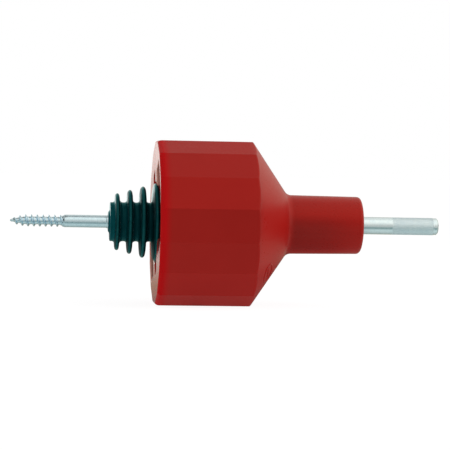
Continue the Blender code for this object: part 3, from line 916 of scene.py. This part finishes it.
def paint_lip_light(tree, colour, place, radius, normal):
    """Pocket lips: a pale painted highlight, but painted shade low on the camera side."""
    across = tree.math("SUBTRACT", tree.math("MULTIPLY", place["Y"], math.cos(TILT)),
                       tree.math("MULTIPLY", place["Z"], math.sin(TILT)))
    lips = tree.product(
        tree.remap(tree.math("ABSOLUTE", across), span=mm(9, 11)),
        tree.remap(radius, span=mm(33.6, 33.0)),
        tree.remap(normal["X"], span=(-0.97, -0.80)),
        tree.remap(place["X"], span=stations(3.0, 1.2)))
    high = tree.math("MAXIMUM", tree.remap(place["Z"], span=mm(0.0, 8)),
                     tree.remap(across, span=mm(-1, 1)))
    strength = tree.remap(place["X"], span=stations(0.2, 1.6), to=(0.95, 0.70))
    colour = tree.mix(tree.product(lips, high, strength), colour, LIP_PAINTED_HIGHLIGHT)
    low = tree.remap(high, span=(0.0, 1.0), to=(0.80, 0.0))
    return tree.mix(tree.product(lips, low), colour, LIP_PAINTED_SHADE)


def paint_camera_side_shading(tree, colour, place, normal):
    """Paints shading on the prism and the cone's shadow on the neck where they face -Y."""
    tone = tree.ramp(tree.remap(normal["Z"], span=(-1.0, 1.0)),
                     [((z + 1) / 2, grey(level)) for z, level in PRISM_PAINTED_SHADING])
    facing = tree.remap(normal["Y"], span=(0.1, -0.3))
    prism = tree.product(
        tree.remap(place["X"], span=stations(2.0, 5.0)),
        facing,
        tree.remap(place["X"], span=stations(46.0, 43.0)))
    belly = tree.product(
        tree.remap(normal["Z"], span=(0.42, 0.05), smooth=True),
        tree.remap(normal["Z"], span=(-0.97, -0.80)))
    neck = tree.product(
        tree.remap(place["X"], span=stations(57.0, 64.0), smooth=True),
        facing,
        tree.remap(place["X"], span=stations(72.0, 94.0), to=(1.0, 0.35), smooth=True),
        belly)
    # painted shading on the prism, then the painted shadow of the cone on the neck
    colour = tree.mix(prism, colour, tone, blend="MULTIPLY")
    return tree.mix(neck, colour, NECK_PAINTED_SHADOW, blend="MULTIPLY")


def red_plastic():
    tree = Surface("red_moulded_plastic")
    place = tree.split(tree.coord)
    radius = tree.axis_radius(place)
    normal = tree.normal_parts()
    cloud = tree.noise(scale=28.0, detail=3.0, roughness=0.55)
    rim = rim_mask(tree, place, radius, normal)
    colour = red_base(tree, cloud, place, radius)
    # painted light: the mouth's rounded rim is painted a lighter, more saturated red
    colour = tree.mix(rim, colour, RED_RIM_PAINTED_LIGHT)
    colour = paint_lip_light(tree, colour, place, radius, normal)
    tree.fill(tree.bsdf, {
        "Base Color": paint_camera_side_shading(tree, colour, place, normal),
        "Roughness": red_roughness(tree, cloud, place),
        "Normal": tree.noise_bumps(RED_BUMPS),
        "IOR": 1.5,
        "Specular Tint": (1.0, 0.93, 0.78),
        "Specular IOR Level": tree.remap(rim, span=(0.0, 1.0), to=(0.20, 0.02)),
    })
    return tree.material


# ------------------------------------------------------------------------------------------------
# Green-black plastic of the insulator
# ------------------------------------------------------------------------------------------------
GREEN_DEEP = (0.0, 0.0230, 0.0260)
GREEN_BRIGHT = (0.0, 0.0300, 0.0330)
GREEN_CREST_WEAR_AND_HIGHLIGHT = (0.008, 0.085, 0.088)     # crests of the fins: rubbed wear with a painted highlight line
GREEN_VALLEY_PAINTED_LIGHT = (0.0, 0.060, 0.072)      # core between the fins, painted lighter to lift the shade there
GREEN_BLADE_PAINTED_SHADE = (0.0, 0.012, 0.013)       # band just below the crests, painted darker as shade on the fin tips
GREEN_FREE_END = (0.001, 0.060, 0.070)  # end the screw comes out of
SHEEN_FACING = (0.20, 0.95, 1.0)        # sheen seen straight on
SHEEN_GRAZING = (0.80, 0.97, 1.0)
SHEEN_IOR = 1.26
GREEN_BUMPS = ((90.0, 0.25, 0.00008), (1800.0, 0.3, 0.000010))


def green_colour(tree, place, radius):
    cloud = tree.noise(scale=60.0, detail=3.0, roughness=0.5)
    colour = tree.mix(tree.remap(cloud, span=(0.3, 0.7)), GREEN_DEEP, GREEN_BRIGHT)
    # the crests' radius grows about evenly from fin to fin
    crest = tree.remap(place["X"], span=stations(FINS[0][0], FINS[3][0]),
                       to=mm(FINS[0][1], FINS[3][1]), clamp=False)
    below = tree.math("SUBTRACT", crest, radius)
    outside = tree.remap(place["X"], span=stations(1.2, 0.6))     # 0 within the driver

    wear = tree.noise(scale=500.0, detail=4.0, roughness=0.6)
    # painted highlight along the fin crests, broken up by wear
    crest_wear_and_highlight = tree.product(
        tree.remap(below, span=mm(0.20, 0.02), smooth=True),
        outside,
        tree.remap(wear, span=(0.35, 0.65), to=(0.35, 0.85)))
    colour = tree.mix(crest_wear_and_highlight, colour, GREEN_CREST_WEAR_AND_HIGHLIGHT)
    # painted light: the core between the fins is lifted out of its shade
    valley = tree.remap(radius, span=mm(CORE_R + 1.6, CORE_R + 0.2), to=(0.0, 0.75))
    colour = tree.mix(tree.product(valley, outside), colour, GREEN_VALLEY_PAINTED_LIGHT)
    # painted shade on the rounded fin tips below the crest
    blade = tree.product(
        tree.remap(below, span=mm(1.6, 0.9), to=(0.0, 0.55)),
        tree.remap(below, span=mm(0.06, 0.24)),
        outside)
    colour = tree.mix(blade, colour, GREEN_BLADE_PAINTED_SHADE)
    free_end = tree.remap(place["X"], span=stations(-18.9, -19.6), to=(0.0, 0.6))
    return tree.mix(free_end, colour, GREEN_FREE_END)


def sheen_amount(tree, fresnel, place, radius):
    """Fresnel sheen, dulled on flanks turned to -X: low down, and on the outer part of the
    earlier fins."""
    flank = tree.remap(tree.normal_parts()["X"], span=(-0.72, -0.92), smooth=True)
    low = tree.remap(place["Z"], span=mm(6.0, -2.0), smooth=True)
    early = tree.remap(place["X"], span=stations(FINS[3][0] - 3.0, FINS[2][0] + 1.5))
    outer = tree.remap(radius, span=mm(CORE_R + 2.0, CORE_R + 4.5), to=(0.0, 0.75))
    dull = tree.product(tree.math("MAXIMUM", low, tree.product(early, outer)), flank)
    return tree.product(fresnel, tree.remap(dull, span=(0.0, 1.0), to=(1.0, 0.16)))


def green_plastic():
    """Matt body under an oily blue-green sheen."""
    tree = Surface("green_black_moulded_plastic")
    place = tree.split(tree.coord)
    radius = tree.axis_radius(place)
    fine = tree.noise(scale=1100.0, detail=2.0, roughness=0.5)
    roughness = tree.remap(fine, span=(0.3, 0.7), to=(0.26, 0.36))
    bumps = tree.noise_bumps(GREEN_BUMPS)
    tree.fill(tree.bsdf, {"Base Color": green_colour(tree, place, radius),
                          "Roughness": roughness, "Normal": bumps, "Specular IOR Level": 0.0})
    fresnel = tree.add("ShaderNodeFresnel", {"IOR": SHEEN_IOR, "Normal": bumps}).outputs[0]
    tint = tree.mix(tree.remap(fresnel, span=(0.02, 0.35)), SHEEN_FACING, SHEEN_GRAZING)
    gloss = tree.add("ShaderNodeBsdfAnisotropic",
                     {"Roughness": roughness, "Normal": bumps, "Color": tint})
    coat = tree.add("ShaderNodeMixShader", {"Fac": sheen_amount(tree, fresnel, place, radius),
                                            1: tree.bsdf.outputs["BSDF"],
                                            2: gloss.outputs["BSDF"]})
    tree.fill(tree.out, {"Surface": coat.outputs["Shader"]})
    return tree.material


# ------------------------------------------------------------------------------------------------
# Metals
# ------------------------------------------------------------------------------------------------
def metal(name, base, cloudy, roughness, cloud_scale):
    """Turned lines round the axis, faint clouds and small dark specks; returns the tree."""
    tree = Surface(name)
    cloud = tree.noise(scale=cloud_scale, detail=4.0, roughness=0.6)
    colour = tree.mix(tree.remap(cloud, span=(0.32, 0.68)), base, cloudy)
    speck = tree.noise(scale=2600.0, detail=3.0, roughness=0.7)
    spot = tree.remap(speck, span=(0.60, 0.72), to=(0.0, 0.35))
    lines = tree.noise(scale=1.0, detail=3.0, roughness=0.6, stretch=(9000.0, 25.0, 25.0))
    line_bump = tree.bump(lines, strength=0.35, distance=0.000010)
    tree.fill(tree.bsdf, {
        "Base Color": tree.mix(spot, colour, tuple(0.45 * part for part in base)),
        "Metallic": 1.0,
        "Roughness": tree.remap(lines, span=(0.3, 0.7), to=roughness),
        "Normal": tree.bump(cloud, strength=0.2, distance=0.00003, normal=line_bump),
    })
    return tree


def zinc():
    return metal("zinc_plated_screw", base=(0.72, 0.89, 1.0), cloudy=(0.60, 0.78, 0.90),
                 roughness=(0.20, 0.32), cloud_scale=700.0).material


def shank_steel():
    """Bright steel, rougher over the knurl."""
    tree = metal("bright_shank_steel", base=(0.81, 0.93, 1.0), cloudy=(0.72, 0.86, 0.95),
                 roughness=(0.15, 0.25), cloud_scale=500.0)
    place = tree.split(tree.add("ShaderNodeTexCoord").outputs["Object"])
    knurled = tree.product(
        tree.remap(place["X"], span=stations(KNURL_START - 0.1, KNURL_START + 0.3)),
        tree.remap(place["X"], span=stations(KNURL_END + 0.1, KNURL_END - 0.3)))
    plain = tree.bsdf.inputs["Roughness"].links[0].from_socket
    knurl_roughness = 0.50
    mixed = tree.add("ShaderNodeMix", {0: knurled, 2: plain, 3: knurl_roughness},
                     data_type="FLOAT")
    tree.fill(tree.bsdf, {"Roughness": mixed.outputs[0]})
    return tree.material


# ------------------------------------------------------------------------------------------------
# Build
# ------------------------------------------------------------------------------------------------
RED = red_plastic()
GREEN = green_plastic()
ZINC = zinc()
STEEL = shank_steel()

for make, material, body, node, slot in (
        (build_housing, RED, "driver", "driver_housing", "housing_plastic"),
        (build_shank, STEEL, "driver", "drive_shank", "shank_steel"),
        (build_body, GREEN, "insulator", "insulator_body", "insulator_plastic"),
        (build_screw, ZINC, "insulator", "wood_screw", "screw_zinc")):
    part = make()
    part.data.materials.clear()
    part.data.materials.append(material)
    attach(part, body)
    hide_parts(node)

# ------------------------------------------------------------------------------------------------
# Floor. It looks different to camera rays, mirror (glossy) rays and all other rays.
# ------------------------------------------------------------------------------------------------
SCENE_CENTRE = (station(30), 0, 0)

# what mirror rays see: metres behind (+Y) or in front of (-Y) the axis, colour
FLOOR_GLOSS = (
    (-0.30, (0.52, 0.52, 0.47)), (-0.13, (0.40, 0.44, 0.40)), (-0.066, (0.14, 0.22, 0.20)),
    (-0.042, (0.38, 0.46, 0.43)), (-0.022, (0.60, 0.68, 0.62)), (0.0, (0.48, 0.54, 0.50)),
    (0.03, (0.34, 0.36, 0.30)), (0.12, (0.38, 0.36, 0.25)), (0.45, (0.95, 0.92, 0.86)))
FLOOR_SHADE = (0.02, 0.02, 0.015)       # mirrored floor in the driver's shadow
# light given off, and light scattered back, for each kind of ray
FLOOR_GLOW_CAMERA, FLOOR_GLOW_OTHER = grey(0.93), grey(0.57)
FLOOR_BASE_CAMERA, FLOOR_BASE_GLOSSY, FLOOR_BASE_OTHER = grey(0.13), grey(0.05), grey(0.22)


def mirrored_floor(tree):
    """Colour bands along Y, darkened under and behind the driver; spans in metres."""
    place = tree.split(tree.coord)
    low, high = FLOOR_GLOSS[0][0], FLOOR_GLOSS[-1][0]
    bands = tree.ramp(tree.remap(place["Y"], span=(low, high)),
                      [((y - low) / (high - low), colour) for y, colour in FLOOR_GLOSS])
    shade_x = tree.product(tree.remap(place["X"], span=(-0.037, -0.027)),
                           tree.remap(place["X"], span=(0.075, 0.060)))
    shade_y = tree.product(tree.remap(place["Y"], span=(-0.045, -0.030)),
                           tree.remap(place["Y"], span=(0.16, 0.08)))
    return tree.mix(tree.product(shade_x, shade_y, 0.75), bands, FLOOR_SHADE)


def floor_material():
    tree = Surface("pale_floor")
    path = tree.add("ShaderNodeLightPath").outputs
    base = tree.mix(path["Is Glossy Ray"], FLOOR_BASE_OTHER, FLOOR_BASE_GLOSSY)
    base = tree.mix(path["Is Camera Ray"], base, FLOOR_BASE_CAMERA)
    tree.fill(tree.bsdf, {"Base Color": base, "Roughness": 0.9, "Specular IOR Level": 0.0})
    glow = tree.mix(path["Is Glossy Ray"], FLOOR_GLOW_OTHER, mirrored_floor(tree))
    glow = tree.mix(path["Is Camera Ray"], glow, FLOOR_GLOW_CAMERA)
    emission = tree.add("ShaderNodeEmission", {"Color": glow, "Strength": 1.0})
    both = tree.add("ShaderNodeAddShader", {0: tree.bsdf.outputs["BSDF"],
                                            1: emission.outputs["Emission"]})
    tree.fill(tree.out, {"Surface": both.outputs["Shader"]})
    return tree.material


def build_floor():
    work = bmesh.new()
    bmesh.ops.create_grid(work, x_segments=1, y_segments=1, size=6.0)
    floor = link_bmesh("floor", work)
    gap = 0.00005       # keeps the floor just clear of the housing
    floor.location = (SCENE_CENTRE[0], 0, FLOOR_Z - gap)
    floor.data.materials.append(floor_material())


# ------------------------------------------------------------------------------------------------
# World: white to the camera, a painted studio to mirror rays, soft light to all others
# ------------------------------------------------------------------------------------------------
# mirrored band: degrees round the X axis from the camera's side (0) over the top to straight
# behind (180), brightness
BAND = ((0, 0.60), (12, 0.66), (25, 0.84), (39, 1.00), (53, 1.08), (70, 1.12), (90, 1.04),
        (105, 0.94), (130, 0.76), (150, 0.66), (172, 0.60), (180, 0.60))
BAND_WARMTH = (1.0, 0.965, 0.87)
# cards painted over it: direction, inner and outer angle in degrees, colour
CARDS = (
    ((-0.35, 0.10, 0.95), 21, 33, (0.28, 0.27, 0.25)),       # dark, overhead and left
    ((0.74, 0.62, 0.30), 14, 27, (0.86, 0.82, 0.70)),        # bright, right, high and behind
    ((0.93, 0.36, -0.05), 8, 19, (0.08, 0.07, 0.05)),        # dark gap, right
    ((-1.0, -0.20, 0.0), 24, 52, (0.02, 0.02, 0.02)),        # dark, far left
    ((0.88, -0.50, 0.10), 10, 24, (1.00, 0.97, 0.88)),       # bright, right, camera side
    ((-0.36, 0.93, 0.04), 15, 26, (1.55, 1.48, 1.40)),       # bright, left and behind
)
SOFT_BASE = grey(0.37)
# the same columns, for the soft light
SOFT_CARDS = (
    ((0.9, -0.05, 0.45), 30, 75, grey(1.15)),       # right and high
    ((0.0, 0.3, 1.0), 20, 60, grey(0.52)),          # overhead
    ((-0.80, -0.52, 0.00), 10, 36, grey(1.70)),     # left, camera side
    ((0.10, -1.0, -0.05), 14, 44, grey(0.02)),      # dark, camera side
)


def painted(tree, ray, colour, cards):
    for direction, inner, outer, card_colour in cards:
        closeness = tree.dot(ray, Vector(direction).normalized())
        edge = (math.cos(math.radians(outer)), math.cos(math.radians(inner)))
        colour = tree.mix(tree.remap(closeness, span=edge, smooth=True), colour, card_colour)
    return colour


def build_world():
    world = bpy.data.worlds.new("studio")
    bpy.context.scene.world = world
    tree = NodeTree(world)
    world.cycles.sampling_method = "NONE"
    ray = tree.add("ShaderNodeTexCoord").outputs["Generated"]
    parts = tree.split(ray)
    angle = tree.math("ARCTAN2", parts["Z"], tree.math("MULTIPLY", parts["Y"], -1.0))
    band = tree.ramp(tree.math("DIVIDE", angle, math.pi),
                     [(degrees / 180.0, tuple(level * part for part in BAND_WARMTH))
                      for degrees, level in BAND])
    path = tree.add("ShaderNodeLightPath").outputs
    colour = tree.mix(path["Is Glossy Ray"], painted(tree, ray, SOFT_BASE, SOFT_CARDS),
                      painted(tree, ray, band, CARDS))
    colour = tree.mix(path["Is Camera Ray"], colour, grey(1.0))
    background = tree.add("ShaderNodeBackground", {"Color": colour, "Strength": 1.0})
    tree.add("ShaderNodeOutputWorld", {0: background.outputs[0]})


# ------------------------------------------------------------------------------------------------
# Lights and camera
# ------------------------------------------------------------------------------------------------
# name, offset from the scene's centre in metres, size in metres, watts
LIGHTS = (
    ("key_left", (-0.95, -0.60, 0.75), (0.7, 0.7), 1.1),
    ("key_right", (1.05, -0.40, 0.80), (0.7, 0.7), 3.3),
    ("top", (0, 0.1, 1.1), (1.2, 0.8), 1.3),
)

CAMERA_YAW = math.radians(6.2)          # view turned from +Y towards +X
CAMERA_PITCH = math.radians(2.03)       # looking down
CAMERA_ROLL = math.radians(1.12)        # lowers the object's right end in the picture
CAMERA_DISTANCE = 0.8514                # metres
CAMERA_AIM = 32.34                      # station
CAMERA_DROP = 0.73357                   # mm the camera is moved down its own upright
CAMERA_LENS = 148.56
CAMERA_SHIFT_X = -0.00066667            # share of the picture's width


def area_light(name, offset, size, watts):
    light = bpy.data.lights.new(name, "AREA")
    light.shape = "RECTANGLE"
    light.size, light.size_y = size
    light.energy = watts
    lamp = link(name, light)
    lamp.location = (SCENE_CENTRE[0] + offset[0], offset[1], offset[2])
    direction = Vector(SCENE_CENTRE) - lamp.location
    lamp.rotation_euler = direction.to_track_quat("-Z", "Y").to_euler()
    lamp.visible_glossy = False


def build_camera():
    forward = Vector((math.sin(CAMERA_YAW) * math.cos(CAMERA_PITCH),
                      math.cos(CAMERA_YAW) * math.cos(CAMERA_PITCH),
                      -math.sin(CAMERA_PITCH)))
    level_right = forward.cross(Vector((0, 0, 1))).normalized()
    level_up = level_right.cross(forward).normalized()
    right = level_right * math.cos(CAMERA_ROLL) + level_up * math.sin(CAMERA_ROLL)
    upright = level_up * math.cos(CAMERA_ROLL) - level_right * math.sin(CAMERA_ROLL)
    aim = Vector((station(CAMERA_AIM), 0, 0))
    location = aim - forward * CAMERA_DISTANCE - upright * (CAMERA_DROP * MM)
    optics = bpy.data.cameras.new("camera")
    optics.sensor_width = 36.0
    optics.lens = CAMERA_LENS
    optics.clip_start, optics.clip_end = 0.05, 20.0
    optics.shift_x = CAMERA_SHIFT_X
    camera = link("camera", optics)
    turn = Matrix((right, upright, -forward)).transposed().to_4x4()
    camera.matrix_world = Matrix.Translation(location) @ turn
    bpy.context.scene.camera = camera


view = bpy.context.scene.view_settings
view.view_transform = "Standard"
view.look = "None"
view.exposure = 0.0
view.gamma = 1.0

build_floor()
build_world()
for light_row in LIGHTS:
    area_light(*light_row)
build_camera()
